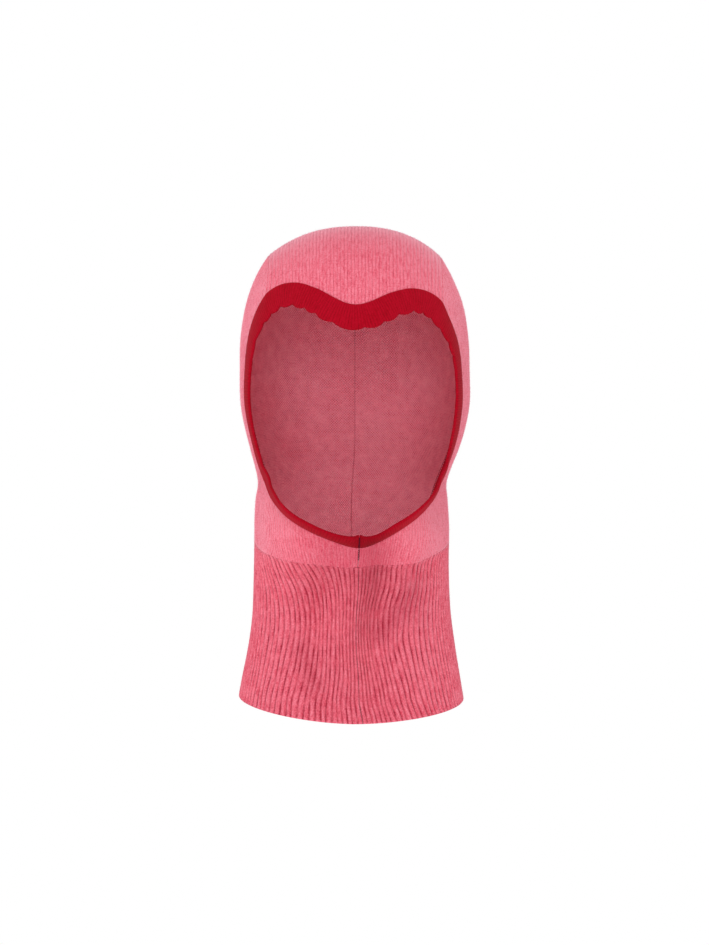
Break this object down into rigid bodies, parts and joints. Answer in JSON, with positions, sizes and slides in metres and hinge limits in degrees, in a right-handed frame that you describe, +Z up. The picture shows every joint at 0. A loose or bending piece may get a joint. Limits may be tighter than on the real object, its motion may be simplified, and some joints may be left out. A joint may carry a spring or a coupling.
{
  "type": "balaclava",
  "caption": "Knitted balaclava: a jersey hood with a heart-shaped face opening edged by a folded band, on a flared rib neck.",
  "frame": {"origin": "the inside of the crown at its highest point, where it rests on the wearer's head", "axes": "+Z up out of the crown, the face opening looks along -Y, +X to the right seen from in front"},
  "size_m": [0.1652, 0.2021, 0.3492],
  "materials": {
    "pink_jersey": "brushed wool jersey, matt, with a pale nap at grazing angles",
    "pink_rib": "1x1 wool rib, matt",
    "red_trim": "fine knitted band, matt",
    "pink_thread": "spun sewing thread",
    "red_thread": "spun sewing thread",
    "dark_thread": "spun sewing thread"
  },
  "bodies": {
    "root": {"crown_panel": "pink_jersey", "right_side_panel": "pink_jersey", "left_side_panel": "pink_jersey", "right_neck_rib": "pink_rib", "left_neck_rib": "pink_rib", "face_trim": "red_trim", "right_crown_seam": "pink_thread", "left_crown_seam": "pink_thread", "right_rib_join": "pink_thread", "left_rib_join": "pink_thread", "front_seam": "pink_thread", "back_seam": "pink_thread", "trim_join_seam": "red_thread", "trim_end_seam": "dark_thread", "chin_tack": "dark_thread"}
  },
  "joints": []
}
